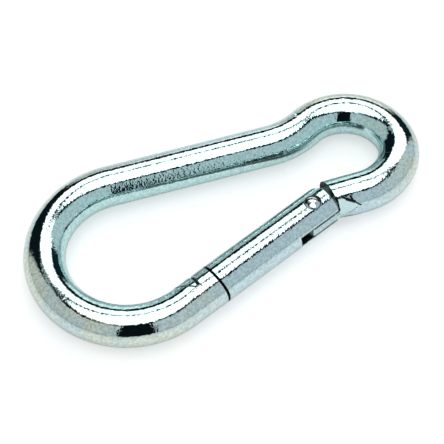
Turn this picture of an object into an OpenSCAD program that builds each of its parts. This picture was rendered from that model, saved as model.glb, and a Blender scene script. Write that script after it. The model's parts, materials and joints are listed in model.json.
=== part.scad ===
// Spring snap hook bent from round bar: a tapering body with a wide bow and a small eye,
// closed by a sprung gate that turns on a rivet beside the eye and latches beside the bow.

/* [Bar] */
// Diameter of the round bar that the body and the gate are made of
bar_d = 10; // [9.7:0.1:10.3]

/* [Body outline] */
// Centre-line radius of the wide bow
bow_r = 20.2; // [19.7:0.1:20.9]
// Angle between each arm and the long axis
taper = 12; // [11.6:0.1:12.4]
// Length that the back arm is straight beyond the distance to the rivet
back_extra = 0.7; // [0:0.1:1.6]
// Centre-line radius of the bend between the back arm and the eye
neck_r = 20.4; // [18.6:0.2:22]
// Least angle that this bend turns outwards
neck_angle = 30; // [29:0.5:31]
// Least height of the middle of the eye above the shoulder, for which the neck turns further
eye_rise = 9; // [8:0.1:9.3]
// Centre-line radius of the eye on either side of its far end
eye_r = 13.4; // [13:0.1:13.9]
// Angle that the eye turns at this radius before its far end
eye_entry_angle = 109; // [108:1:112]
// Centre-line radius of the far end of the eye
eye_end_r = 10.5; // [9.8:0.1:11.2]
// Angle that the far end turns
eye_end_angle = 51; // [48:1:54]
// Depth of the dent on the outside of the neck
dent_depth = 0.4; // [0.1:0.1:0.6]
// Radius of the tool that leaves this dent
dent_r = 6; // [4:0.5:9]
// Depth of the marks that the bending tool's jaws leave on the neck, above and below
mark_depth = 0.15; // [0.1:0.01:0.2]
// Radius to which the marks are hollowed
mark_r = 2; // [1.5:0.1:2.5]
// Angle of the marks from the top and from the bottom of the bar
mark_angle = 20; // [10:1:30]
// Distance along the neck from the marks to the end of its bend
mark_back = 1.3; // [1.2:0.1:2]

/* [Hinge] */
// Distance along the gate's arm from the bow to the rivet
hinge_reach = 40; // [39.6:0.1:40.4]
// Least gap between the gate's heel and the body's shoulder as the gate turns
shoulder_gap = 0.56; // [0.45:0.01:1.1]
// Thickness of the tongue that the gate turns on
tongue_t = 3.2; // [2.8:0.1:3.4]
// Distance from the rivet to the cam end of the tongue
cam_reach = 4.65; // [4.3:0.05:4.9]
// Half the width of the flat on the cam end
cam_half = 3; // [2.8:0.05:3.15]
// Distance from the middle of the bar to the tongue's inner edge
tongue_inner = 3.2; // [3.2:0.1:4]
// Inset of the tongue's outer edge from the surface of the bar
tongue_inset = 0.2; // [0.1:0.05:0.4]
// Inset of the tongue's root inside the bar
root_inset = 0.9; // [0.9:0.05:1.2]
// Length of the tongue's root inside the bar
root_l = 2.5; // [1:0.25:3]
// Depth of the flats pressed into the bar at the shoulder
flat_depth = 0.65; // [0.3:0.05:0.7]
// Radius to which the flats are crowned, which runs them out behind the shoulder
flat_r = 25; // [15:1:30]
// Angle of the flats from the top and from the bottom of the bar
flat_angle = 62; // [60:1:70]

/* [Rivet] */
// Diameter of the rivet
rivet_d = 3.4; // [3:0.1:3.6]
// Diameter of its peened heads
rivet_head_d = 3.9; // [3.8:0.1:4.4]
// Height of a head above its seat
rivet_head_h = 0.75; // [0.6:0.05:0.9]
// Depth of the seat below the top of the bar
rivet_seat = 0.55; // [0.45:0.05:0.6]
// Radial gap between a head and the wall of its seat
head_play = 0.12; // [0.1:0.01:0.3]

/* [Gate] */
// Distance along the gate's arm from the bow to the nose face of the gate
nose_place = 9.5; // [9:0.1:10]
// Distance from the rivet to the heel of the gate
gate_heel = 4.3; // [4:0.1:4.4]
// Radius of the heel's corner on the inner side
heel_inner_r = 4; // [3:0.25:4.25]
// Distance from the rivet to the closed end of the fork
fork_reach = 7.7; // [7:0.1:8.5]
// Width of the broken edges of the fork and of the tongue
edge_break = 0.2; // [0.1:0.05:0.3]

/* [Latch] */
// Distance along the gate's arm from the bow to the loaded flank of the latch head
head_place = 4.4; // [4:0.1:4.8]
// Width of the latch head at its floor
head_w = 0.4; // [0.3:0.1:0.8]
// Height of the head's floor above the middle of the bar
head_floor = 0.35; // [0.2:0.05:0.8]
// Slope of the head's ramp
ramp_angle = 50; // [46:1:54]
// Lean of the loaded flank, which lets the head swing out
flank_lean = 9; // [8.5:0.5:12]
// Thickness of the web that carries the head
web_t = 2.5; // [2:0.1:3]
// Inset of the web's edge from the surface of the bar
web_inset = 0.3; // [0.2:0.1:0.6]

/* [Spring] */
// Diameter of the blind bore that holds the spring
bore_d = 3.6; // [3.4:0.1:3.8]
// Metal between the bottom of the bore and the nose face
bore_end = 3.5; // [2.5:0.5:5.5]
// Wire diameter of the spring
wire_d = 0.5; // [0.4:0.05:0.6]
// Number of turns, with one close turn at each end
turns = 12; // [9:1:13]
// Spacing of the close turns
close_step = 0.6; // [0.6:0.05:0.8]
// Diameter of the plunger's stem
stem_d = 1.6; // [1.2:0.1:1.7]
// Length of the plunger's stem
stem_l = 5; // [3:0.5:8]
// Length of the plunger's head
plunger_l = 5.5; // [4.5:0.5:7]
// Diameter of the plunger's tip
tip_d = 2.2; // [1.8:0.1:2.4]

/* [Clearances] */
// Gap between the nose of the gate and the end of the body
nose_gap = 0.45; // [0.3:0.05:0.6]
// Gap under the latch head and along its ramp
latch_gap = 0.35; // [0.3:0.05:0.5]
// Gap between the head's loaded flank and the wall of its notch
flank_gap = 0.8; // [0.4:0.1:1]
// Gap on either side of the web and of the tongue
side_gap = 0.35; // [0.3:0.05:0.5]
// Radial running clearance of the rivet in the tongue
rivet_play = 0.06; // [0.03:0.01:0.1]
// Radial clearance of the rivet in the gate
fit_play = 0.02; // [0.01:0.01:0.04]
// Radial running clearance of the plunger in its bore
plunger_play = 0.1; // [0.05:0.01:0.15]
// Radial clearance of the spring in its bore
spring_play = 0.2; // [0.1:0.05:0.25]
// Gap at each end of the spring
end_gap = 0.05; // [0.02:0.01:0.1]
// Gap between the plunger's tip and the cam when the gate is shut
tip_gap = 0.1; // [0.08:0.01:0.15]

/* [Hidden] */

// Facets of the coil: sides of the wire, and rounds of them in each turn
wire_sides = 6;
rounds_a_turn = 16;
$fn = 96;
far = 4 * bar_d;
bar_r = bar_d / 2;

// Colours of the metal
zinc = [0.80, 0.84, 0.85];
zinc_gate = [0.74, 0.79, 0.81];
bright = [0.88, 0.90, 0.91];
spring_steel = [0.55, 0.57, 0.60];

// Outline of the centre line, in a plan whose origin is the middle of the bow
function ahead(a) = [cos(a), sin(a)];
function left_of(a) = [-sin(a), cos(a)];

gate_reach = hinge_reach - nose_place;
head_reach = hinge_reach - head_place;
heel_swing = norm([gate_heel - heel_inner_r, bar_r - heel_inner_r]) + heel_inner_r;
shoulder_reach = heel_swing + shoulder_gap;
back_l = hinge_reach + back_extra;

latch_start = -bow_r * left_of(taper);
hinge = latch_start + hinge_reach * ahead(taper);
shoulder = hinge + shoulder_reach * [1, tan(taper)];

back_start = bow_r * left_of(-taper);
back_end = back_start + back_l * ahead(-taper);
neck_c = back_end + neck_r * left_of(-taper);
over_shoulder = neck_c[1] - shoulder[1] - eye_rise;
neck_turn = max(neck_angle, taper + acos(min(1, over_shoulder / (neck_r + eye_r))));
entry_dir = neck_turn - taper;
neck_end = neck_c - neck_r * left_of(entry_dir);
entry_c = neck_end - eye_r * left_of(entry_dir);
far_dir = entry_dir - eye_entry_angle;
far_start = entry_c + eye_r * left_of(far_dir);
far_c = far_start - eye_end_r * left_of(far_dir);
last_dir = far_dir - eye_end_angle;
far_end = far_c + eye_end_r * left_of(last_dir);
last_c = far_end - eye_r * left_of(last_dir);

// The last bend of the eye ends where a straight line to the shoulder leaves it
to_shoulder = shoulder - last_c;
leave_angle = atan2(to_shoulder[1], to_shoulder[0]) + acos(eye_r / norm(to_shoulder));
leave = last_c + eye_r * ahead(leave_angle);
last_turn = last_dir + 90 - leave_angle;
return_l = norm(shoulder - leave);

// The part lies on a rivet head, with the middle of its length and width at the origin
mid_z = bar_r + max(rivet_head_h - rivet_seat, 0);
x_min = -bow_r - bar_r;
x_max = max(entry_c[0] + eye_r, far_c[0] + eye_end_r) + bar_r;
x_mid = (x_min + x_max) / 2;

// Every second length of bar is a hair thinner and runs a little way into its
// neighbours, so that all of them join as one solid
hair = 0.02;
lap = 0.15;

// Sizes of the hinge that follow from the ones above
fork_half = tongue_t / 2 + side_gap;
fork_edge = sqrt(bar_r * bar_r - fork_half * fork_half);
edge_cut_w = tongue_t / 2;
seat_z = bar_r - rivet_seat;
chord = sqrt(bar_r * bar_r - tongue_t * tongue_t / 4);
tongue_outer = chord - tongue_inset;
root_half = chord - root_inset;

// Sizes of the latch
slot_half = web_t / 2 + side_gap;
wedge_top = 1.4 * bar_r;

// Sizes of the spring and its plunger
plunger_d = bore_d - 2 * plunger_play;
plunger_front = cam_reach + tip_gap;
plunger_back = plunger_front + plunger_l;
spring_r = (bore_d - wire_d) / 2 - spring_play;
spring_from = plunger_back + end_gap;
bore_reach = gate_reach - bore_end;
spring_to = bore_reach - end_gap;

module in_plan() translate([-x_mid, 0, mid_z]) children();
module at_hinge() in_plan() translate(hinge) rotate(taper) children();

// A cylinder from one distance to another along the X axis
module rod(d, from, to) translate([from, 0, 0]) rotate([0, 90, 0]) cylinder(d = d, h = to - from);

// A straight length of bar that starts at p and runs in a direction
module straight(p, a, l, thin = false) {
    over = thin ? lap : 0;
    translate(p) rotate(a) rod(thin ? bar_d - 2 * hair : bar_d, -over, l + over);
}

// A bend of the bar about c, from one polar angle through another
module bend(c, r, start, turn, thin = false) {
    over = thin ? lap / r * 180 / PI : 0;
    translate(c) rotate(start - over) rotate_extrude(angle = turn + 2 * over)
        translate([r, 0]) circle(d = thin ? bar_d - 2 * hair : bar_d);
}

// A slab across the whole bar, cut to an outline in plan
module slab(t = far) linear_extrude(height = t, center = true) children();

// The bent bar from the latch round to the shoulder
module bent_bar() {
    difference() {
        straight(latch_start, taper, hinge_reach - gate_reach + bar_r, thin = true);
        translate(hinge) cylinder(r = gate_reach + nose_gap, h = far, center = true);
    }
    bend([0, 0], bow_r, 90 - taper, 180 + 2 * taper);
    straight(back_start, -taper, back_l, thin = true);
    bend(neck_c, neck_r, -90 - taper, neck_turn);
    bend(entry_c, eye_r, far_dir + 90, eye_entry_angle, thin = true);
    bend(far_c, eye_end_r, last_dir + 90, eye_end_angle);
    bend(last_c, eye_r, leave_angle, last_turn, thin = true);
    difference() {
        straight(leave, leave_angle - 90, return_l + bar_r);
        translate(shoulder - [far, far / 2]) slab() square(far);
    }
}

// The notch and the latch head share one wedge, which gaps widen at its flank and elsewhere
function flank_x(y, slack) =
    -head_reach + slack / cos(flank_lean) + (y - head_floor) * tan(flank_lean);
function ramp_x(y, g) =
    -head_reach - head_w - g / sin(ramp_angle) - (y - head_floor) / tan(ramp_angle);

module wedge(g = 0, slack = 0) {
    floor_y = head_floor - g;
    slab() polygon([
        [flank_x(floor_y, slack), floor_y],
        [flank_x(wedge_top, slack), wedge_top],
        [ramp_x(wedge_top, g), wedge_top],
        [ramp_x(floor_y, g), floor_y]
    ]);
}

// The notch for the latch head, and the slot for the web that carries it
module latch_seat() at_hinge() {
    wedge(latch_gap, flank_gap);
    translate([-head_reach, head_floor - latch_gap])
        slab(2 * slot_half) square([head_reach - gate_reach + bar_r, wedge_top]);
}

// The flats that pressing the tongue leaves at the shoulder, above and below
module flats() {
    away = bar_r - flat_depth + flat_r;
    in_plan() translate(shoulder) rotate(leave_angle - 90) for (side = [-1, 1])
        translate([0, away * sin(flat_angle), side * away * cos(flat_angle)])
            sphere(r = flat_r);
}

// The dent that the bending tool leaves on the outside of the neck
module neck_dent() {
    mid = ahead(-90 - taper + neck_turn / 2);
    away = neck_r - bar_r + dent_depth - dent_r;
    in_plan() translate(neck_c + away * mid) cylinder(r = dent_r, h = far, center = true);
}

// A block that breaks the edge which runs along X from p; its metal lies away from the angle
module edge_cut(p, angle) {
    translate(p) rotate([angle, 0, 0])
        translate([0, -edge_break / sqrt(2), -edge_cut_w / 2]) cube([far, edge_cut_w, edge_cut_w]);
}

// The marks of the bending tool's jaws, on top of the neck and below it
module neck_marks() {
    away = bar_r - mark_depth + mark_r;
    in_plan() translate(neck_c) rotate(entry_dir - 90 - mark_back / neck_r * 180 / PI)
        for (side = [-1, 1])
            translate([neck_r - away * sin(mark_angle), 0, side * away * cos(mark_angle)])
                sphere(r = mark_r);
}

// The flat tongue that the gate turns on, with its root inside the bar
module tongue() {
    slope = tongue_outer - cam_half;
    difference() {
        union() {
            intersection() {
                at_hinge() slab(tongue_t) polygon([
                    [-cam_reach, -cam_half], [slope - cam_reach, -tongue_outer],
                    [far, -tongue_outer], [far, tongue_inner],
                    [tongue_inner - cam_half - cam_reach, tongue_inner], [-cam_reach, cam_half]
                ]);
                in_plan() translate([shoulder[0] - far + lap, shoulder[1] - far / 2])
                    slab() square(far);
            }
            in_plan() translate([shoulder[0] - lap, shoulder[1] - root_half])
                slab(tongue_t) square([root_l, root_half + tongue_inner]);
        }
        at_hinge() cylinder(d = rivet_d + 2 * rivet_play, h = far, center = true);
        at_hinge() for (up = [-1, 1])
            edge_cut([-far / 2, -tongue_outer, up * tongue_t / 2], 180 - up * 45);
    }
}

module body() color(zinc) {
    difference() {
        in_plan() bent_bar();
        latch_seat();
        flats();
        neck_dent();
        neck_marks();
    }
    tongue();
}

// Plan of the gate: its nose is struck from the rivet, and its heel has round corners
module gate_plan() {
    intersection() {
        circle(r = gate_reach);
        translate([-gate_reach, -bar_r]) square([gate_reach + gate_heel, bar_d]);
        union() {
            translate([-gate_reach, -bar_d])
                square([gate_reach + gate_heel - heel_inner_r, 2 * bar_d]);
            translate([gate_heel - heel_inner_r, bar_r - heel_inner_r]) circle(r = heel_inner_r);
            translate([gate_heel - heel_inner_r, -bar_r]) square([heel_inner_r, bar_d - heel_inner_r]);
        }
    }
}

module latch_head() {
    intersection() {
        rod(bar_d, -head_reach - far, -gate_reach);
        wedge();
    }
    intersection() {
        rod(bar_d - 2 * web_inset, -head_reach - head_w / 2, -gate_reach + bar_r / 2);
        translate([-head_reach - head_w, head_floor]) slab(web_t) square([head_reach, bar_r]);
    }
}

module gate() color(zinc_gate) at_hinge() {
    difference() {
        intersection() {
            rod(bar_d, -gate_reach - bar_r, gate_heel + bar_r);
            slab() gate_plan();
        }
        translate([-fork_reach, -bar_r]) slab(2 * fork_half) square([far, bar_d]);
        cylinder(d = rivet_d + 2 * fit_play, h = far, center = true);
        for (side = [-1, 1])
            translate([0, 0, side * (seat_z + bar_r)])
                cylinder(d = rivet_head_d + 2 * head_play, h = bar_d, center = true);
        rod(bore_d, -bore_reach, lap - fork_reach);
        for (side = [-1, 1], up = [-1, 1])
            edge_cut([-fork_reach, side * fork_edge, up * fork_half], 90 - side * (90 + up * 45));
    }
    latch_head();
}

// A peened head: the cap of a sphere on the seat
module rivet_head() {
    ball_r = (rivet_head_d * rivet_head_d / 4 + rivet_head_h * rivet_head_h) / (2 * rivet_head_h);
    intersection() {
        translate([0, 0, seat_z + rivet_head_h - ball_r]) sphere(r = ball_r);
        translate([0, 0, seat_z]) cylinder(d = 2 * rivet_head_d, h = rivet_head_d);
    }
}

module rivet() color(bright) at_hinge() {
    cylinder(d = rivet_d, h = 2 * seat_z + rivet_head_h / 2, center = true);
    rivet_head();
    mirror([0, 0, 1]) rivet_head();
}

// The coil is swept round by round: its end turns lie close and the rest are even
coil_rounds = turns * rounds_a_turn;
open_step = (spring_to - spring_from - wire_d - 2 * close_step) / (turns - 2);
function coil_x(t) =
    close_step * min(t, 1) + open_step * min(max(t - 1, 0), turns - 2)
    + close_step * max(t - turns + 1, 0);

module spring() color(spring_steel) at_hinge() {
    points = [
        for (i = [0 : coil_rounds]) for (j = [0 : wire_sides - 1])
            let (
                t = i / rounds_a_turn, a = 360 * t, b = 360 * j / wire_sides,
                r = spring_r + wire_d / 2 * cos(b)
            )
            [-spring_from - wire_d / 2 - coil_x(t) + wire_d / 2 * sin(b), r * cos(a), r * sin(a)]
    ];
    sides = [
        for (i = [0 : coil_rounds - 1]) for (j = [0 : wire_sides - 1])
            let (k = (j + 1) % wire_sides, p = i * wire_sides, q = p + wire_sides)
            [p + j, q + j, q + k, p + k]
    ];
    first = [for (j = [0 : wire_sides - 1]) j];
    last = [for (j = [wire_sides - 1 : -1 : 0]) coil_rounds * wire_sides + j];
    polyhedron(points = points, faces = concat(sides, [first, last]));
}

// The plunger: a stem inside the spring, a head in the bore and a coned tip on the cam
module plunger() color(bright) at_hinge() {
    cone = (plunger_d - tip_d) / 2;
    rotate([0, -90, 0]) rotate_extrude() polygon([
        [0, plunger_front], [tip_d / 2, plunger_front], [plunger_d / 2, plunger_front + cone],
        [plunger_d / 2, plunger_back], [stem_d / 2, plunger_back],
        [stem_d / 2, plunger_back + stem_l], [0, plunger_back + stem_l]
    ]);
}

body();
gate();
rivet();
spring();
plunger();
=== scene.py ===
"""The looks of a bright zinc-plated snap hook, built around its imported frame."""

import json
import logging
import math
from dataclasses import dataclass
from enum import Enum
from functools import cached_property
from typing import Any, Mapping

import bpy
from mathutils import Matrix, Vector


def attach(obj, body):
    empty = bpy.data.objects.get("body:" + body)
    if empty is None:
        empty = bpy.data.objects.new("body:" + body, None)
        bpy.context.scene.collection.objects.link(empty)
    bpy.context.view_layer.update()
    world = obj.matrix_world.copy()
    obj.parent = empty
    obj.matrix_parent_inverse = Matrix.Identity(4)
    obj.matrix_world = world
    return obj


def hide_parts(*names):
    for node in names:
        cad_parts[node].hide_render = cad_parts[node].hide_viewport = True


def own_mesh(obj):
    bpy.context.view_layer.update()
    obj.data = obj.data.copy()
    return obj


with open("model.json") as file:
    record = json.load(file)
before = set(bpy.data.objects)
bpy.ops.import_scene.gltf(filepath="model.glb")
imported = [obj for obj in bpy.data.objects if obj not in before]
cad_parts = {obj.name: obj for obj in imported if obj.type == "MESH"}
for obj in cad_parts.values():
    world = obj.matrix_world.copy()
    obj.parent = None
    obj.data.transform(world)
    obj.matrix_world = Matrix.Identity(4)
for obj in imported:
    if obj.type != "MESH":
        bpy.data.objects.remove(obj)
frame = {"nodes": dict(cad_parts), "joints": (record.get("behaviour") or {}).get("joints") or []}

MM = 0.001
LOG = logging.getLogger("snap_hook")
Colour = tuple[float, float, float]
Fade = tuple[float, float]
WHITE: Colour = (1.0, 1.0, 1.0)

# What a length never falls below where something is divided by it
LEAST_LEVEL = 1e-4
LEAST_REACH = 0.1


class Sum(Enum):
    """The operations of the Math nodes."""

    ADD = "ADD"
    SUBTRACT = "SUBTRACT"
    MULTIPLY = "MULTIPLY"
    DIVIDE = "DIVIDE"
    GREATER = "GREATER_THAN"
    LESS = "LESS_THAN"
    SIZE = "ABSOLUTE"
    SIGN = "SIGN"
    MOST = "MAXIMUM"
    LEAST = "MINIMUM"
    ROOT = "SQRT"
    SINE = "SINE"
    COSINE = "COSINE"
    ARC_SINE = "ARCSINE"
    ARC_COSINE = "ARCCOSINE"
    ZIGZAG = "PINGPONG"


class Flow:
    """A socket that takes part in Python sums: each operator adds a Math node."""

    def __init__(self, graph: "Graph", socket: bpy.types.NodeSocket) -> None:
        """Wrap a socket of a graph.

        Args:
            graph: The graph that the socket belongs to.
            socket: The output socket to wrap.
        """
        self.graph = graph
        self.socket = socket

    def _sum(self, operation: Sum, *values: Any) -> "Flow":
        """Return the result of one Math node.

        Args:
            operation: What the node does.
            values: Its inputs in order, as numbers or flows.

        Returns:
            The node's output.
        """
        settings = {"operation": operation.value}
        return self.graph.node("ShaderNodeMath", settings, dict(enumerate(values)))

    def __add__(self, other: Any) -> "Flow":
        """Add a value."""
        return self._sum(Sum.ADD, self, other)

    def __radd__(self, other: Any) -> "Flow":
        """Add to a value."""
        return self._sum(Sum.ADD, other, self)

    def __sub__(self, other: Any) -> "Flow":
        """Subtract a value."""
        return self._sum(Sum.SUBTRACT, self, other)

    def __rsub__(self, other: Any) -> "Flow":
        """Subtract from a value."""
        return self._sum(Sum.SUBTRACT, other, self)

    def __mul__(self, other: Any) -> "Flow":
        """Multiply by a value."""
        return self._sum(Sum.MULTIPLY, self, other)

    def __rmul__(self, other: Any) -> "Flow":
        """Multiply a value."""
        return self._sum(Sum.MULTIPLY, other, self)

    def __truediv__(self, other: Any) -> "Flow":
        """Divide by a value."""
        return self._sum(Sum.DIVIDE, self, other)

    def __rtruediv__(self, other: Any) -> "Flow":
        """Divide a value."""
        return self._sum(Sum.DIVIDE, other, self)

    def __neg__(self) -> "Flow":
        """Change the sign."""
        return self._sum(Sum.MULTIPLY, self, -1.0)

    def __gt__(self, other: Any) -> "Flow":
        """Return 1 where this is greater, and 0 elsewhere."""
        return self._sum(Sum.GREATER, self, other)

    def __lt__(self, other: Any) -> "Flow":
        """Return 1 where this is less, and 0 elsewhere."""
        return self._sum(Sum.LESS, self, other)

    def __abs__(self) -> "Flow":
        """Return the size without the sign."""
        return self._sum(Sum.SIZE, self)

    def either(self, other: Any) -> "Flow":
        """Return the greater of two values."""
        return self._sum(Sum.MOST, self, other)

    def both(self, other: Any) -> "Flow":
        """Return the lesser of two values."""
        return self._sum(Sum.LEAST, self, other)

    def within(self, low: float, high: float) -> "Flow":
        """Return 1 between two values, and 0 elsewhere."""
        return (self > low) * (self < high)

    def hypotenuse(self, other: "Flow") -> "Flow":
        """Return the length of the straight line that goes this far and that far across."""
        return self._sum(Sum.ROOT, self * self + other * other)

    def sign(self) -> "Flow":
        """Return the sign, as -1, 0 or 1."""
        return self._sum(Sum.SIGN, self)

    def zigzag(self) -> "Flow":
        """Rise from 0 to 1 and fall to 0 again over every two units."""
        return self._sum(Sum.ZIGZAG, self, 1.0)

    def sine(self) -> "Flow":
        """Return the sine of an angle in radians."""
        return self._sum(Sum.SINE, self)

    def cosine(self) -> "Flow":
        """Return the cosine of an angle in radians."""
        return self._sum(Sum.COSINE, self)

    def arc_sine(self) -> "Flow":
        """Return the angle whose sine this is, in degrees."""
        return self._sum(Sum.ARC_SINE, self.both(1.0).either(-1.0)) * math.degrees(1.0)

    def arc_cosine(self) -> "Flow":
        """Return the angle whose cosine this is, in degrees."""
        return self._sum(Sum.ARC_COSINE, self.both(1.0).either(-1.0)) * math.degrees(1.0)

    def step(self, low: float, high: float) -> "Flow":
        """Rise smoothly from 0 at one value to 1 at another.

        Args:
            low: The value at which the result is 0.
            high: The value at which the result is 1. It may be the lesser of the two.

        Returns:
            The smooth step.
        """
        return self.graph.node(
            "ShaderNodeMapRange",
            {"interpolation_type": "SMOOTHSTEP"},
            {"Value": self, "From Min": low, "From Max": high},
        )


class Graph:
    """A node tree, of a shader or of a shape, that is written as expressions."""

    def __init__(self, tree: bpy.types.NodeTree) -> None:
        """Take over a tree and empty it.

        Args:
            tree: The node tree of a material, of the world or of a shape.
        """
        self.tree = tree
        tree.nodes.clear()

    def node(
        self,
        kind: str,
        settings: Mapping[str, Any] | None = None,
        inputs: Mapping[Any, Any] | None = None,
        output: Any = 0,
    ) -> Flow:
        """Add a node, set it up, and then link or set its inputs.

        Args:
            kind: The node's type.
            settings: Its own settings, such as a Math node's operation.
            inputs: Values or flows by the name or number of the input.
            output: The name or number of the output to return.

        Returns:
            One output of the new node.
        """
        made = self.tree.nodes.new(kind)
        for name, value in (settings or {}).items():
            setattr(made, name, value)
        for name, value in (inputs or {}).items():
            socket = made.inputs[name]
            if isinstance(value, Flow):
                self.tree.links.new(value.socket, socket)
            elif isinstance(value, tuple) and len(value) == 3 and socket.type == "RGBA":
                socket.default_value = (*value, 1.0)
            else:
                socket.default_value = value
        return Flow(self, made.outputs[output])

    def mix(self, factor: Flow, first: Any, second: Any) -> Flow:
        """Mix two colours.

        Args:
            factor: The share of the second colour.
            first: The first colour.
            second: The second colour.

        Returns:
            The mixed colour.
        """
        settings = {"data_type": "RGBA", "blend_type": "MIX", "clamp_factor": True}
        return self.node("ShaderNodeMix", settings, {0: factor, 6: first, 7: second}, output=2)

    def coordinates(self, name: str) -> Flow:
        """Return one output of Texture Coordinate, by its name."""
        return self.node("ShaderNodeTexCoord", output=name)

    def ray(self, name: str) -> Flow:
        """Return one output of Light Path, by its name."""
        return self.node("ShaderNodeLightPath", output=name)

    def parts(self, vector: Flow) -> tuple[Flow, Flow, Flow]:
        """Split a vector into its three values.

        Args:
            vector: The vector.

        Returns:
            Its parts along X, Y and Z.
        """
        first = self.node("ShaderNodeSeparateXYZ", inputs={0: vector})
        outputs = first.socket.node.outputs
        return first, Flow(self, outputs[1]), Flow(self, outputs[2])

    def noise(self, where: Flow, scale: float, detail: float = 2.0) -> Flow:
        """Return a noise between 0 and 1.

        Args:
            where: The coordinates.
            scale: Features for each unit of the coordinates.
            detail: Octaves of finer noise.

        Returns:
            The noise's value.
        """
        inputs = {"Vector": where, "Scale": scale, "Detail": detail}
        return self.node("ShaderNodeTexNoise", {}, inputs, output="Fac")

    def bump(self, height: Flow, depth: float, under: Flow | None = None) -> Flow:
        """Return a direction that a height has roughened.

        Args:
            height: The height, from 0 to 1.
            depth: The height of 1, in metres. A hollow has it below 0.
            under: The direction to start from, or none for the surface's own.

        Returns:
            The direction.
        """
        inputs = {"Height": height, "Strength": 1.0, "Distance": depth}
        if under is not None:
            inputs["Normal"] = under
        return self.node("ShaderNodeBump", inputs=inputs)

    def finish(self, kind: str, result: Flow) -> None:
        """Add the tree's output node and link the result to its first socket.

        Args:
            kind: The type of the output node.
            result: The shader or the shape to link.
        """
        end = self.tree.nodes.new(kind)
        self.tree.links.new(result.socket, end.inputs[0])

    def finish_metal(self, colour: Flow, roughness: Flow, direction: Flow) -> None:
        """End a material in bare metal.

        Args:
            colour: The colour of its reflections.
            roughness: Its roughness.
            direction: The direction that its surface faces.
        """
        inputs = {
            "Base Color": colour,
            "Metallic": 1.0,
            "Roughness": roughness,
            "Normal": direction,
        }
        metal = self.node("ShaderNodeBsdfPrincipled", inputs=inputs)
        self.finish("ShaderNodeOutputMaterial", metal)


def new_material(name: str) -> tuple[bpy.types.Material, Graph]:
    """Make a material with an empty graph.

    Args:
        name: The material's name.

    Returns:
        The material and its graph.
    """
    material = bpy.data.materials.new(name)
    material.use_nodes = True
    return material, Graph(material.node_tree)


@dataclass(frozen=True)
class Band:
    """A stretch of a value whose two ends fade out."""

    low: float
    low_full: float
    high_full: float
    high: float

    def mask(self, value: Flow) -> Flow:
        """Return 1 in the middle of the stretch and 0 outside it."""
        return value.step(self.low, self.low_full) * value.step(self.high, self.high_full)


@dataclass(frozen=True)
class Cloud:
    """Patches of a noise: what lies above a level counts, up to a share."""

    scale: float
    detail: float
    fade: Fade
    share: float

    def mask(self, graph: Graph, where: Flow) -> Flow:
        """Return the share in the patches and 0 between them."""
        return graph.noise(where, self.scale, self.detail).step(*self.fade) * self.share


@dataclass(frozen=True)
class Panel:
    """A patch of the studio, placed by compass and height as the hook sees it, in degrees."""

    azimuth: float
    half_width: float
    low: float
    high: float
    colour: Colour
    edge: float
    side_edge: float

    def mask(self, x: Flow, y: Flow, height: Flow) -> Flow:
        """Return 1 inside the panel and 0 outside it.

        Args:
            x: The direction's level part along X, for a level part of length one.
            y: The direction's level part along Y.
            height: The direction's height above the horizon, in degrees.

        Returns:
            The mask.
        """
        turn = math.radians(self.azimuth)
        apart = (x * math.cos(turn) + y * math.sin(turn)).arc_cosine()
        across = apart.step(self.half_width + self.side_edge, self.half_width - self.side_edge)
        tall = Band(
            self.low - self.edge, self.low + self.edge, self.high - self.edge, self.high + self.edge
        )
        return across * tall.mask(height)


@dataclass(frozen=True)
class Studio:
    """The room that the hook mirrors: soft boxes overhead, grey-blue walls and dark gaps."""

    wall_cool: Colour = (0.52, 0.575, 0.60)
    wall_warm: Colour = (0.50, 0.52, 0.51)
    cool_side: tuple[float, float] = (0.5, -0.7)
    cool_fade: Fade = (-0.9, 0.7)
    lamp: Colour = (1.7, 1.7, 1.7)
    lamp_height: float = 65.0
    lamp_edge: float = 0.7
    black: Colour = (0.004, 0.010, 0.014)
    rim_width: float = 8.0
    rim_edge: float = 1.0
    rim_breaks: Cloud = Cloud(5.0, 1.0, (0.26, 0.36), 1.0)
    horizon: Band = Band(-1.0, 0.5, 3.0, 5.5)
    horizon_share: float = 0.25
    wander: float = 3.0
    wander_scale: float = 3.0
    panels: tuple[Panel, ...] = (
        Panel(25, 13, -9, 36, (0.006, 0.014, 0.018), 2.0, 3.0),
        Panel(57, 15, 0, 20, (0.95, 0.97, 0.96), 1.0, 4.0),
        Panel(62, 28, 18.5, 33, (0.003, 0.007, 0.009), 1.0, 3.0),
        Panel(104, 20, -8, 54, (0.003, 0.008, 0.012), 2.0, 3.0),
        Panel(-113, 17.8, 0, 74, (0.003, 0.006, 0.008), 2.0, 1.2),
        Panel(52, 36, 35.5, 59.8, (1.7, 1.7, 1.7), 0.8, 2.0),
    )

    def build(self) -> None:
        """Make the world, which is plain white to the camera."""
        world = bpy.data.worlds.new("studio")
        bpy.context.scene.world = world
        world.use_nodes = True
        graph = Graph(world.node_tree)
        ray = graph.coordinates("Generated")
        x, y, z = graph.parts(ray)
        height = z.arc_sine() + (graph.noise(ray, self.wander_scale, 1.0) - 0.5) * self.wander
        level = x.hypotenuse(y).either(LEAST_LEVEL)
        x, y = x / level, y / level
        cool = (x * self.cool_side[0] + y * self.cool_side[1]).step(*self.cool_fade)
        colour = graph.mix(cool, self.wall_warm, self.wall_cool)
        rim_low = self.lamp_height - self.rim_width
        rim = height.step(rim_low - self.rim_edge, rim_low + self.rim_edge)
        colour = graph.mix(rim * self.rim_breaks.mask(graph, ray), colour, self.black)
        for panel in self.panels:
            colour = graph.mix(panel.mask(x, y, height), colour, panel.colour)
        lamp = height.step(self.lamp_height - self.lamp_edge, self.lamp_height + self.lamp_edge)
        colour = graph.mix(lamp, colour, self.lamp)
        colour = graph.mix(self.horizon.mask(height) * self.horizon_share, colour, self.black)
        colour = graph.mix(graph.ray("Is Camera Ray"), colour, WHITE)
        light = graph.node("ShaderNodeBackground", inputs={"Color": colour, "Strength": 1.0})
        graph.finish("ShaderNodeOutputWorld", light)


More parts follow.
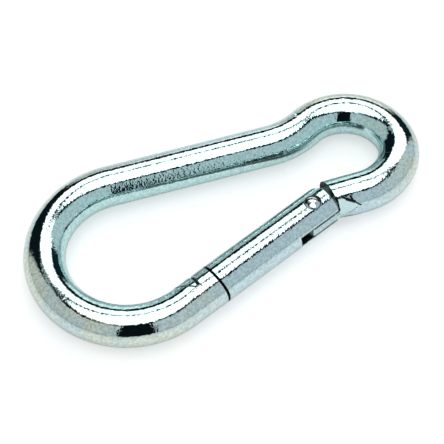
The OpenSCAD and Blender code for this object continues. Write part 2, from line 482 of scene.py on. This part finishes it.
@dataclass(frozen=True)
class Outline:
    """The sizes of the hook's plan that the finishes go by, in millimetres and degrees."""

    middle_z: float = 5.2
    bar_r: float = 5.0
    skin: Fade = (0.24, 0.30)
    bow_x: float = -25.948
    eye_x: float = 32.0
    hinge: tuple[float, float] = (17.37742, -11.44211)
    arm_angle: float = 12.0
    arm_half: float = 6.0
    gate_reach: float = 30.5
    head_reach: float = 35.6
    nose_gap: float = 0.45
    nose_edge: float = 0.11
    nose_from: float = -25.0


OUTLINE = Outline()


class Spot:
    """The place being shaded, in millimetres, with what the finishes measure from it."""

    def __init__(self, graph: Graph) -> None:
        """Read the place from the object's own coordinates.

        Args:
            graph: The material's graph.
        """
        self.graph = graph
        self.where = graph.coordinates("Object")
        self.x, self.y, self.z = (part * (1.0 / MM) for part in graph.parts(self.where))

    def from_point(self, point: tuple[float, float], angle: float) -> tuple[Flow, Flow]:
        """Return how far the place lies ahead of a point of the plan, and to its left.

        Args:
            point: The point.
            angle: The direction that is ahead, in degrees from X.

        Returns:
            The distance ahead and the distance to the left.
        """
        turn = math.radians(angle)
        run, rise = self.x - point[0], self.y - point[1]
        ahead = run * math.cos(turn) + rise * math.sin(turn)
        return ahead, rise * math.cos(turn) - run * math.sin(turn)

    @cached_property
    def normal(self) -> tuple[Flow, Flow, Flow]:
        """The three parts of the surface's direction."""
        return self.graph.parts(self.graph.coordinates("Normal"))

    @cached_property
    def middle(self) -> Flow:
        """The height above the hook's middle plane."""
        return self.z - OUTLINE.middle_z

    @cached_property
    def arm(self) -> tuple[Flow, Flow]:
        """The distances ahead of the hinge along the gate's arm, and inwards of its middle."""
        return self.from_point(OUTLINE.hinge, OUTLINE.arm_angle)

    @property
    def along(self) -> Flow:
        """The distance ahead of the hinge along the gate's arm."""
        return self.arm[0]

    @property
    def across(self) -> Flow:
        """The distance inwards of the middle of the gate's arm."""
        return self.arm[1]

    @cached_property
    def from_hinge(self) -> Flow:
        """The distance from the hinge's axis."""
        return (self.x - OUTLINE.hinge[0]).hypotenuse(self.y - OUTLINE.hinge[1])

    @cached_property
    def outwards(self) -> Flow:
        """How much the surface faces away from the space inside the hook, from -1 to 1."""
        run = self.x - self.x.either(OUTLINE.bow_x).both(OUTLINE.eye_x)
        reach = run.hypotenuse(self.y).either(LEAST_REACH)
        return (self.normal[0] * run + self.normal[1] * self.y) / reach

    @cached_property
    def inside(self) -> Flow:
        """A mask of what lies under the skin of the arm's round bar, as only cut faces do."""
        depth = self.across.hypotenuse(self.middle)
        return depth.step(*(OUTLINE.bar_r - skin for skin in OUTLINE.skin))

    @cached_property
    def nose(self) -> Flow:
        """A mask of the two faces that meet at the gate's nose, and just round their edges."""
        gap_middle = OUTLINE.gate_reach + 0.5 * OUTLINE.nose_gap
        near = abs(self.from_hinge - gap_middle) < 0.5 * OUTLINE.nose_gap + OUTLINE.nose_edge
        return near * (self.along < OUTLINE.nose_from)

    @cached_property
    def nowhere(self) -> Flow:
        """A mask of nothing."""
        return self.x * 0.0


@dataclass(frozen=True)
class Floor:
    """The plain pale floor that keeps the hook's shadow."""

    half_side: float = 3.0
    colour: Colour = (0.86, 0.87, 0.87)
    far: Colour = (0.48, 0.55, 0.56)
    far_fade: Fade = (30.0, 150.0)
    eye_glow: float = 0.5
    metal_glow: float = 0.22
    shade: Colour = (0.05, 0.075, 0.08)
    shade_share: float = 1.3
    shade_reach: float = 6 * MM
    shade_samples: int = 8
    lamp_azimuth: float = -100.0
    lamp_height: float = 35.0
    gate_shade: Colour = (0.03, 0.04, 0.045)
    gate_shade_share: float = 0.9
    gate_shade_along: Band = Band(-42.0, -26.0, 8.0, 22.0)
    gate_shade_across: Band = Band(2.0, 4.0, 8.0, 12.0)

    def build(self) -> bpy.types.Object:
        """Make the floor at the hook's lowest point.

        Returns:
            The floor.
        """
        mesh = bpy.data.meshes.new("floor")
        side = self.half_side
        corners = [(-side, -side, 0.0), (side, -side, 0.0), (side, side, 0.0), (-side, side, 0.0)]
        mesh.from_pydata(corners, [], [(0, 1, 2, 3)])
        floor = bpy.data.objects.new("floor", mesh)
        bpy.context.scene.collection.objects.link(floor)
        mesh.materials.append(self._paper())
        return floor

    def _paper(self) -> bpy.types.Material:
        """Return white paper, in which the metal sees deeper shadows and a dark far edge."""
        material, graph = new_material("white_paper")
        spot = Spot(graph)
        eye, metal = graph.ray("Is Camera Ray"), graph.ray("Is Glossy Ray")
        away = spot.x.hypotenuse(spot.y).step(*self.far_fade)
        dim = ((1.0 - self._lit(graph)) * self.shade_share).both(1.0)
        under = self.gate_shade_across.mask(spot.across) * self.gate_shade_along.mask(spot.along)
        under = under * self.gate_shade_share
        colour = graph.mix(metal * away, self.colour, self.far)
        colour = graph.mix(metal * dim, colour, self.shade)
        colour = graph.mix(metal * under, colour, self.gate_shade)
        paper = graph.node("ShaderNodeBsdfDiffuse", inputs={"Color": colour})
        seen = (eye * self.eye_glow).either(metal * (1.0 - under) * self.metal_glow)
        glow = graph.node("ShaderNodeEmission", inputs={"Color": WHITE, "Strength": seen})
        both = graph.node("ShaderNodeAddShader", inputs={0: paper, 1: glow})
        graph.finish("ShaderNodeOutputMaterial", both)
        return material

    def _lit(self, graph: Graph) -> Flow:
        """Return 1 where nothing stands between the floor and the lamp's side, near by.

        Args:
            graph: The paper's graph.

        Returns:
            The mask.
        """
        around, up = math.radians(self.lamp_azimuth), math.radians(self.lamp_height)
        lamp = (math.cos(around) * math.cos(up), math.sin(around) * math.cos(up), math.sin(up))
        towards = graph.node("ShaderNodeCombineXYZ", inputs=dict(enumerate(lamp)))
        inputs = {"Distance": self.shade_reach, "Normal": towards}
        settings = {"samples": self.shade_samples}
        return graph.node("ShaderNodeAmbientOcclusion", settings, inputs, output="AO")


@dataclass(frozen=True)
class Viewpoint:
    """The photograph's camera, as an orbit about a point on the hook's middle plane."""

    aim: tuple[float, float, float] = (-2.65 * MM, -2.94 * MM, 5.2 * MM)
    distance: float = 448.4 * MM
    nearest: float = 10 * MM
    azimuth: float = -26.10
    elevation: float = 55.93
    roll: float = -2.69
    lens: float = 151.96
    sensor: float = 36.0

    def build(self) -> bpy.types.Object:
        """Make the camera and set it as the scene's own.

        Returns:
            The camera.
        """
        around, up = math.radians(self.azimuth), math.radians(self.elevation)
        level = math.cos(up)
        back = Vector((math.sin(around) * level, -math.cos(around) * level, math.sin(up)))
        right = Vector((math.cos(around), math.sin(around), 0.0))
        above = back.cross(right)
        turn = Matrix((right, above, back)).transposed().to_4x4()
        turn = turn @ Matrix.Rotation(math.radians(self.roll), 4, "Z")
        data = bpy.data.cameras.new("camera")
        data.lens = self.lens
        data.sensor_width = self.sensor
        data.clip_start = self.nearest
        camera = bpy.data.objects.new("camera", data)
        camera.matrix_world = Matrix.Translation(Vector(self.aim) + back * self.distance) @ turn
        bpy.context.scene.collection.objects.link(camera)
        bpy.context.scene.camera = camera
        return camera


@dataclass(frozen=True)
class DarkReflectionBand:
    """A painted dark reflection, as broken streaks along the slopes inside the front bar."""

    colour: Colour = (0.05, 0.075, 0.085)
    share: float = 0.85
    slope: float = 0.70
    slope_fade: Fade = (0.10, 0.04)
    slope_wander: float = 0.12
    outwards_fade: Fade = (-0.05, -0.25)
    back_fade: Fade = (0.15, 0.4)
    streak_scale: float = 900.0
    streak_stretch: tuple[float, float, float] = (0.25, 1.0, 1.0)
    streak_fade: Fade = (0.25, 0.5)

    def mask(self, spot: Spot) -> Flow:
        """Return the painted reflection's share in the streaks, and 0 elsewhere.

        Args:
            spot: The place being shaded.

        Returns:
            The mask.
        """
        stretched = spot.graph.node(
            "ShaderNodeVectorMath",
            {"operation": "MULTIPLY"},
            {0: spot.where, 1: self.streak_stretch},
        )
        streaks = spot.graph.noise(stretched, self.streak_scale)
        slope = abs(spot.normal[2]) - self.slope + (streaks - 0.5) * self.slope_wander
        front = spot.outwards.step(*self.outwards_fade) * spot.normal[1].step(*self.back_fade)
        broken = streaks.step(*self.streak_fade) * self.share
        return abs(slope).step(*self.slope_fade) * front * broken


@dataclass(frozen=True)
class ZincPlate:
    """Bright zinc plate on steel: a cool mirror with a fine grain and rounded edges."""

    name: str
    inner: Colour = (0.69, 0.96, 0.96)
    outer: Colour = (0.88, 0.95, 0.84)
    outer_fade: Fade = (-0.25, 0.55)
    drift: float = 0.9
    drift_scale: float = 90.0
    blue: Colour = (0.74, 0.92, 0.97)
    blue_middle: float = 3.0
    blue_fade: Fade = (26.0, 12.0)
    blue_hinge: Fade = (30.0, 14.0)
    blue_clouds: Cloud = Cloud(130.0, 2.0, (0.36, 0.64), 0.75)
    # Bare steel for the flecks and the cut faces; on the cut faces it also stands for painted shade
    # in the gaps.
    bare_steel_and_gap_shade: Colour = (0.115, 0.155, 0.135)
    flecks: Cloud = Cloud(1500.0, 1.0, (0.30, 0.72), 0.26)
    # The painted dark reflection inside the front bar.
    dark_reflection: DarkReflectionBand = DarkReflectionBand()
    satin: Colour = (0.74, 0.96, 0.95)
    satin_share: float = 0.9
    shadow: Colour = (0.0115, 0.0155, 0.0135)
    roughness: float = 0.02
    cut_roughness: float = 0.22
    satin_roughness: float = 0.24
    smears: Cloud = Cloud(160.0, 3.0, (0.45, 0.8), 0.035)
    swell_scale: float = 420.0
    swell_detail: float = 1.5
    swell_depth: float = 0.010 * MM
    grain_scale: float = 1650.0
    grain_depth: float = 0.029 * MM
    crease_depth: float = 0.12 * MM
    edge_radius: float = 0.16 * MM
    edge_samples: int = 6

    def build(self) -> bpy.types.Material:
        """Make the material.

        Returns:
            The material.
        """
        material, graph = new_material(self.name)
        spot = Spot(graph)
        cut, pressed, crease = self.cut(spot), self.pressed(spot), self.crease(spot)
        colour = graph.mix(self.flecks.mask(graph, spot.where), self.plate(spot), self.bare_steel_and_gap_shade)
        # Cut faces: bare steel with little plate, and painted shade in the gaps between parts.
        colour = graph.mix(cut, colour, self.bare_steel_and_gap_shade)
        # Painted reflection: a dark streaky band on the slopes inside the front bar.
        colour = graph.mix(self.dark_reflection.mask(spot), colour, self.dark_reflection.colour)
        colour = graph.mix(pressed * self.satin_share, colour, self.satin)
        colour = graph.mix(crease, colour, self.shadow)
        rough = self.roughness + self.smears.mask(graph, spot.where)
        rough = rough + cut * self.cut_roughness + pressed * self.satin_roughness
        creased = graph.bump(1.0 - crease, self.crease_depth, self.relief(spot))
        graph.finish_metal(colour, rough, self.settled(spot, creased, pressed))
        return material

    def plate(self, spot: Spot) -> Flow:
        """Return the unbroken plate's colour, which drifts between an inner and an outer tone.

        Args:
            spot: The place being shaded.

        Returns:
            The colour.
        """
        graph = spot.graph
        blue = abs(spot.x - self.blue_middle).step(*self.blue_fade)
        blue = blue.either(self.blue_clouds.mask(graph, spot.where))
        blue = blue.either(spot.from_hinge.step(*self.blue_hinge))
        drift = (graph.noise(spot.where, self.drift_scale) - 0.5) * self.drift
        outer = (spot.outwards + drift).step(*self.outer_fade)
        return graph.mix(outer, self.inner, graph.mix(blue, self.outer, self.blue))

    def cut(self, spot: Spot) -> Flow:
        """Return 1 on faces cut into the bar, which take little plate and carry painted shade where
        they face the gaps between parts. Here there are none.
        """
        return spot.nowhere

    def pressed(self, spot: Spot) -> Flow:
        """Return 1 where a press has left the plate satin. Here it is nowhere."""
        return spot.nowhere

    def crease(self, spot: Spot) -> Flow:
        """Return 1 in creases and slits that no light reaches. Here there are none."""
        return spot.nowhere

    def settled(self, spot: Spot, direction: Flow, pressed: Flow) -> Flow:
        """Return the surface's direction after the press, which leaves this plate as it is."""
        del spot, pressed
        return direction

    def relief(self, spot: Spot) -> Flow:
        """Return the surface's direction with its rounded edges, its swell and its grain.

        Args:
            spot: The place being shaded.

        Returns:
            The direction.
        """
        graph = spot.graph
        swell = graph.noise(spot.where, self.swell_scale, self.swell_detail)
        swollen = graph.bump(swell, self.swell_depth, self.rounded(spot))
        grain = graph.noise(spot.where, self.grain_scale, 1.0)
        return graph.bump(grain, self.grain_depth, swollen)

    def rounded(self, spot: Spot) -> Flow:
        """Return the surface's direction with every edge rounded over."""
        settings = {"samples": self.edge_samples}
        return spot.graph.node("ShaderNodeBevel", settings, {"Radius": self.edge_radius})


@dataclass(frozen=True)
class Nip:
    """A crease that the press's edge left, as a stroke on the bar as if it were unrolled.

    Its ends are given by the distance behind the shoulder, in millimetres, and the angle round
    the bar, in degrees.
    """

    start: float
    start_angle: float
    end: float
    end_angle: float
    width: float

    def mask(self, behind: Flow, round_bar: Flow) -> Flow:
        """Return 1 along the nip's middle and 0 beyond its width.

        Args:
            behind: The distance behind the shoulder, in millimetres.
            round_bar: The distance round the bar, in millimetres.

        Returns:
            The mask.
        """
        degree = math.radians(OUTLINE.bar_r)
        run, rise = self.end - self.start, (self.end_angle - self.start_angle) * degree
        back, up = behind - self.start, round_bar - self.start_angle * degree
        share = ((back * run + up * rise) / (run * run + rise * rise)).either(0.0).both(1.0)
        off = (back - share * run).hypotenuse(up - share * rise)
        return off.step(self.width, 0.5 * self.width)


@dataclass(frozen=True)
class BarPlate(ZincPlate):
    """The body's plate, with its cut faces bare and in painted shade, the pressed flats and the
    nips above them.
    """

    shoulder: tuple[float, float] = (22.977, -10.252)
    shoulder_reach: float = 5.604
    face_skin: float = 0.05
    tongue_outer: float = 4.537
    tongue_half: float = 1.6
    tongue_edge: float = 0.42
    notch_from: float = -20.0
    notch_fade: Fade = (1.2, 1.0)
    notch_share: float = 0.9
    return_angle: float = 169.37
    flat_length: float = 8.0
    flat_from_angle: float = 20.0
    flat_skin: Fade = (0.02, 0.08)
    flat_lean: float = 0.17
    nips: tuple[Nip, ...] = (
        Nip(2.0, 30.0, 3.2, 43.0, 0.36),
        Nip(3.0, 41.0, 4.7, 53.0, 0.52),
        Nip(4.6, 52.0, 6.1, 68.0, 0.26),
        Nip(4.0, 35.0, 4.4, 50.0, 0.36),
    )
    nip_under: float = 0.8
    nip_over: float = 0.2
    slit_under: float = 0.22
    slit_over: float = 0.15
    slit_from: float = -3.0
    rim: tuple[float, float] = (-0.13, 0.33)
    rim_across: tuple[float, float] = (-7.0, -2.2)
    ragged: float = 0.3
    ragged_scale: float = 900.0
    hinge_zone: float = 8.5
    latch_middle: float = -33.0
    latch_half: float = 5.5

    def _unrolled(self, spot: Spot) -> tuple[Flow, Flow, Flow]:
        """Return where the place is on the straight bar behind the shoulder.

        Args:
            spot: The place being shaded.

        Returns:
            The distance behind the shoulder, the angle from the top or the bottom of the bar
            in degrees, and the distance from the middle of the bar.
        """
        ahead, out = spot.from_point(self.shoulder, self.return_angle)
        depth = out.hypotenuse(spot.middle)
        return -ahead, (out / depth.either(LEAST_REACH)).arc_sine(), depth

    def cut(self, spot: Spot) -> Flow:
        """Return 1 in the notch, on the shoulder's face and on the tongue inside its edges: bare
        steel with painted shade of the gaps.

        Args:
            spot: The place being shaded.

        Returns:
            The mask.
        """
        head = spot.from_hinge.step(*(OUTLINE.head_reach + fade for fade in self.notch_fade))
        notch = spot.inside * head * (spot.along < self.notch_from) * self.notch_share
        off = abs(spot.middle)
        hidden = (spot.across > OUTLINE.skin[1] - self.tongue_outer).either(
            off > self.tongue_half - self.tongue_edge
        )
        tongue = hidden * (spot.from_hinge < self.shoulder_reach - self.face_skin)
        clear = (off > self.tongue_half).either(spot.across > 0.0)
        face = abs(spot.x - self.shoulder[0]) < self.face_skin
        shoulder = face * clear * (spot.across < OUTLINE.arm_half)
        return notch.either(tongue).either(shoulder)

    def pressed(self, spot: Spot) -> Flow:
        """Return 1 on the flats that were pressed into the bar behind the shoulder.

        Args:
            spot: The place being shaded.

        Returns:
            The mask.
        """
        behind, angle, depth = self._unrolled(spot)
        near = behind.within(self.face_skin, self.flat_length) * (angle > self.flat_from_angle)
        return depth.step(*(OUTLINE.bar_r - skin for skin in self.flat_skin)) * near

    def crease(self, spot: Spot) -> Flow:
        """Return 1 in the nips, in the slits beside the tongue and round the nose.

        Args:
            spot: The place being shaded.

        Returns:
            The mask.
        """
        behind, angle, depth = self._unrolled(spot)
        round_bar = angle * math.radians(OUTLINE.bar_r)
        found = self._slit(spot).either(self._rim(spot))
        for nip in self.nips:
            found = found.either(nip.mask(behind, round_bar))
        skin = depth.within(OUTLINE.bar_r - self.nip_under, OUTLINE.bar_r + self.nip_over)
        return (found * skin).either(spot.nose * (abs(spot.across) < OUTLINE.arm_half))

    def _slit(self, spot: Spot) -> Flow:
        """Return 1 on the tongue's outer edges, beside the slits that they stand in.

        Args:
            spot: The place being shaded.

        Returns:
            The mask.
        """
        low, high = self.tongue_half - self.slit_under, self.tongue_half + self.slit_over
        outer = (spot.across < self.slit_from) * (spot.x < self.shoulder[0] + self.rim[1])
        return abs(spot.middle).within(low, high) * outer

    def _rim(self, spot: Spot) -> Flow:
        """Return 1 along the ragged rim of the shoulder's face.

        Args:
            spot: The place being shaded.

        Returns:
            The mask.
        """
        ragged = (spot.graph.noise(spot.where, self.ragged_scale, 1.0) - 0.5) * self.ragged
        rim = (spot.x - self.shoulder[0] + ragged).within(*self.rim)
        return (abs(spot.middle) > self.tongue_half) * rim * spot.across.within(*self.rim_across)

    def rounded(self, spot: Spot) -> Flow:
        """Return the surface's direction with its edges rounded at the hinge and the latch.

        Args:
            spot: The place being shaded.

        Returns:
            The direction.
        """
        latch = abs(spot.along - self.latch_middle) < self.latch_half
        latch = latch * (abs(spot.across) < OUTLINE.arm_half)
        cut = (spot.from_hinge < self.hinge_zone).either(latch)
        plain = spot.graph.node("ShaderNodeNewGeometry", output="Normal")
        inputs = {0: cut, 4: plain, 5: ZincPlate.rounded(self, spot)}
        return spot.graph.node("ShaderNodeMix", {"data_type": "VECTOR"}, inputs, output=1)

    def settled(self, spot: Spot, direction: Flow, pressed: Flow) -> Flow:
        """Return the surface's direction, which leans a little further over on the flats.

        Args:
            spot: The place being shaded.
            direction: The direction with its grain.
            pressed: 1 on the flats.

        Returns:
            The direction.
        """
        lean = pressed * spot.middle.sign() * -self.flat_lean
        lean = spot.graph.node("ShaderNodeCombineXYZ", inputs={"Z": lean})
        inputs = {0: direction, 1: lean}
        both = spot.graph.node("ShaderNodeVectorMath", {"operation": "ADD"}, inputs)
        return spot.graph.node("ShaderNodeVectorMath", {"operation": "NORMALIZE"}, {0: both})


@dataclass(frozen=True)
class GatePlate(ZincPlate):
    """The gate's plate, with the dull bare faces of the fork, the bore, the latch head and the
    nose, darkened further by painted shade.
    """

    cut_and_shade_share: float = 0.95
    seat_r: float = 2.14

    def cut(self, spot: Spot) -> Flow:
        """Return 1 on the faces inside the bar's skin and in the rivet's seat, for bare steel and
        painted shade.
        """
        return (spot.inside * self.cut_and_shade_share).either(spot.from_hinge < self.seat_r)

    def crease(self, spot: Spot) -> Flow:
        """Return 1 on the nose's face, which no light reaches."""
        return spot.nose


@dataclass(frozen=True)
class PeenedPlate(ZincPlate):
    """The rivet's plate over the dents that the hammer left, with painted shade round the head's
    rim.
    """

    dent_scale: float = 800.0
    dent_depth: float = 0.11 * MM
    head_r: float = 1.95
    crown: float = -0.14 * MM
    # Painted shade round the head's rim, where it sits in its seat.
    rim_shade_fade: Fade = (1.67, 1.93)
    rim_shade_share: float = 0.8

    def cut(self, spot: Spot) -> Flow:
        """Return painted shade at the head's rim, where it sits down in its seat."""
        return spot.from_hinge.step(*self.rim_shade_fade) * self.rim_shade_share

    def relief(self, spot: Spot) -> Flow:
        """Return the surface's direction with the hammer's dents over the grain.

        Args:
            spot: The place being shaded.

        Returns:
            The direction.
        """
        share = spot.from_hinge / self.head_r
        domed = spot.graph.bump(1.0 - share * share, self.crown, ZincPlate.relief(self, spot))
        dents = spot.graph.noise(spot.where, self.dent_scale, 0.0)
        return spot.graph.bump(dents, self.dent_depth, domed)


@dataclass(frozen=True)
class TurnedSteel:
    """Plain turned steel, with the fine rings of the lathe along the bore's axis."""

    name: str
    colour: Colour = (0.52, 0.53, 0.54)
    smudged: Colour = (0.39, 0.3975, 0.405)
    smudge_scale: float = 700.0
    smudge_roughness: float = 0.12
    roughness: float = 0.24
    ring_pitch: float = 0.12
    ring_depth: float = 0.004 * MM

    def build(self) -> bpy.types.Material:
        """Make the material.

        Returns:
            The material.
        """
        material, graph = new_material(self.name)
        spot = Spot(graph)
        smudge = graph.noise(spot.where, self.smudge_scale)
        rings = (spot.along / self.ring_pitch).zigzag()
        graph.finish_metal(
            graph.mix(smudge, self.smudged, self.colour),
            self.roughness + smudge * self.smudge_roughness,
            graph.bump(rings, self.ring_depth),
        )
        return material


@dataclass(frozen=True)
class DrawnWire:
    """Spring wire: grey steel, faintly blued, with the dull film that drawing leaves."""

    name: str
    bright: Colour = (0.46, 0.48, 0.52)
    dull: Colour = (0.26, 0.28, 0.32)
    roughness: float = 0.30
    film_scale: float = 1400.0
    film_detail: float = 3.0
    film_fade: Fade = (0.35, 0.7)
    film_roughness: float = 0.15
    film_depth: float = 0.003 * MM

    def build(self) -> bpy.types.Material:
        """Make the material.

        Returns:
            The material.
        """
        material, graph = new_material(self.name)
        film = graph.noise(graph.coordinates("Object"), self.film_scale, self.film_detail)
        graph.finish_metal(
            graph.mix(film.step(*self.film_fade), self.bright, self.dull),
            self.roughness + film * self.film_roughness,
            graph.bump(film, self.film_depth, graph.coordinates("Normal")),
        )
        return material


def dress(node: str, material: bpy.types.Material) -> None:
    """Give a node of the frame its material.

    Args:
        node: The node's name.
        material: The material.
    """
    slots = frame["nodes"][node].data.materials
    slots.clear()
    slots.append(material)
    LOG.info("dressed %s", node)


@dataclass(frozen=True)
class Body:
    """The bent bar with its bow, back arm, neck, eye, tongue and latch notch."""

    finish: BarPlate = BarPlate("zinc_body")

    def build(self) -> None:
        """Dress the body."""
        dress("body", self.finish.build())


@dataclass(frozen=True)
class Gate:
    """The sprung gate with its fork, its bore and its latch head."""

    finish: GatePlate = GatePlate("zinc_gate", outer=(0.75, 0.92, 0.94))

    def build(self) -> None:
        """Dress the gate."""
        dress("gate", self.finish.build())


@dataclass(frozen=True)
class Rivet:
    """The hinge pin with its two peened heads."""

    finish: PeenedPlate = PeenedPlate(
        "zinc_rivet", inner=(0.86, 0.90, 0.91), outer=(0.86, 0.90, 0.91)
    )

    def build(self) -> None:
        """Dress the rivet."""
        dress("rivet", self.finish.build())


@dataclass(frozen=True)
class Plunger:
    """The pin between the spring and the tongue's cam end."""

    finish: TurnedSteel = TurnedSteel("turned_steel")

    def build(self) -> None:
        """Dress the plunger."""
        dress("plunger", self.finish.build())


@dataclass(frozen=True)
class Spring:
    """The coil in the gate's bore, wound from round wire with a close turn at each end."""

    finish: DrawnWire = DrawnWire("spring_wire")
    turns: int = 12
    rounds_a_turn: int = 32
    wire_sides: int = 10
    wire_r: float = 0.25 * MM
    coil_r: float = 1.35 * MM
    close_step: float = 0.6 * MM
    start: float = 10.30 * MM
    end: float = 26.95 * MM

    def build(self) -> bpy.types.Object:
        """Make the coil, dress it and let it take the plain coil's place.

        Returns:
            The coil.
        """
        material = self.finish.build()
        sizes = {
            "Turns": float(self.turns),
            "Coil Radius": self.coil_r,
            "Wire Radius": self.wire_r,
            "Close Step": self.close_step,
            "Length": self.end - self.start - 2 * self.wire_r,
        }
        coil = bpy.data.objects.new("coil", bpy.data.meshes.new("coil"))
        bpy.context.scene.collection.objects.link(coil)
        tree = self._rule(tuple(sizes), material)
        winding = coil.modifiers.new("winding", "NODES")
        winding.node_group = tree
        for socket in tree.interface.items_tree:
            if socket.name in sizes:
                winding[socket.identifier] = sizes[socket.name]
        wound = coil.evaluated_get(bpy.context.evaluated_depsgraph_get())
        mesh = bpy.data.meshes.new_from_object(wound)
        coil.modifiers.clear()
        coil.data = mesh
        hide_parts("spring")
        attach(coil, "gate")
        self._shorten(coil)
        triangles = sum(len(face.vertices) - 2 for face in mesh.polygons)
        LOG.info("wound the coil: %d triangles", triangles)
        return coil

    def _rule(self, names: tuple[str, ...], material: bpy.types.Material) -> bpy.types.NodeTree:
        """Return the tree that winds the wire.

        Args:
            names: The names of the tree's sizes.
            material: The wire's finish.

        Returns:
            The tree.
        """
        tree = bpy.data.node_groups.new("winding", "GeometryNodeTree")
        for name in names:
            tree.interface.new_socket(name=name, in_out="INPUT", socket_type="NodeSocketFloat")
        tree.interface.new_socket(name="Shape", in_out="OUTPUT", socket_type="NodeSocketGeometry")
        graph = Graph(tree)
        outputs = graph.node("NodeGroupInput").socket.node.outputs
        turns, coil_r, wire_r, close, length = (Flow(graph, outputs[name]) for name in names)
        line = graph.node("GeometryNodeCurvePrimitiveLine")
        inputs = {"Curve": line, "Count": self.turns * self.rounds_a_turn + 1}
        path = graph.node("GeometryNodeResampleCurve", {"mode": "COUNT"}, inputs)
        turn = graph.node("GeometryNodeSplineParameter", output="Factor") * turns
        ends = turn.both(1.0) + (turn - (turns - 1.0)).either(0.0)
        open_step = (length - close * 2.0) / (turns - 2.0)
        height = ends * close + (turn - 1.0).either(0.0).both(turns - 2.0) * open_step
        inputs = {"Geometry": path, "Position": self._place(graph, turn, height, coil_r)}
        path = graph.node("GeometryNodeSetPosition", inputs=inputs)
        inputs = {"Resolution": self.wire_sides, "Radius": wire_r}
        ring = graph.node("GeometryNodeCurvePrimitiveCircle", inputs=inputs)
        inputs = {"Curve": path, "Profile Curve": ring, "Fill Caps": True}
        wire = graph.node("GeometryNodeCurveToMesh", inputs=inputs)
        wire = graph.node("GeometryNodeRealizeInstances", inputs={0: wire})
        inputs = {"Geometry": wire, "Material": material}
        graph.finish("NodeGroupOutput", graph.node("GeometryNodeSetMaterial", inputs=inputs))
        return tree

    def _place(self, graph: Graph, turn: Flow, height: Flow, coil_r: Flow) -> Flow:
        """Return a point of the wire's middle line, in the gate's bore.

        Args:
            graph: The graph of the rule.
            turn: The turns wound so far.
            height: The way that they have climbed.
            coil_r: The radius of the coil's middle line.

        Returns:
            The point.
        """
        angle = turn * (2.0 * math.pi)
        across, up = angle.cosine() * coil_r, angle.sine() * coil_r
        back = height + (self.start + self.wire_r)
        lean = math.radians(OUTLINE.arm_angle)
        x = back * -math.cos(lean) - across * math.sin(lean) + OUTLINE.hinge[0] * MM
        y = back * -math.sin(lean) + across * math.cos(lean) + OUTLINE.hinge[1] * MM
        inputs = {0: x, 1: y, 2: up + OUTLINE.middle_z * MM}
        return graph.node("ShaderNodeCombineXYZ", inputs=inputs)

    def _shorten(self, coil: bpy.types.Object) -> None:
        """Work out the share of its length that the coil would keep as the plunger comes back,
        which nothing uses, and give the coil its own mesh.

        Args:
            coil: The finished coil.
        """
        slide = next(joint for joint in frame["joints"] if joint["name"] == "plunger_slide")
        keep = 1.0 - max(slide["range_m"]) / (self.end - self.start)
        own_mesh(coil)


def main() -> None:
    """Build the view, the room and the floor, and then the hook piece by piece."""
    logging.basicConfig(level=logging.INFO)
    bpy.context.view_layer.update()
    bpy.context.scene.view_settings.view_transform = "Standard"
    for part in (Viewpoint(), Studio(), Floor(), Body(), Gate(), Rivet(), Spring(), Plunger()):
        part.build()
        LOG.info("built %s", type(part).__name__.lower())


if __name__ == "__main__":
    main()
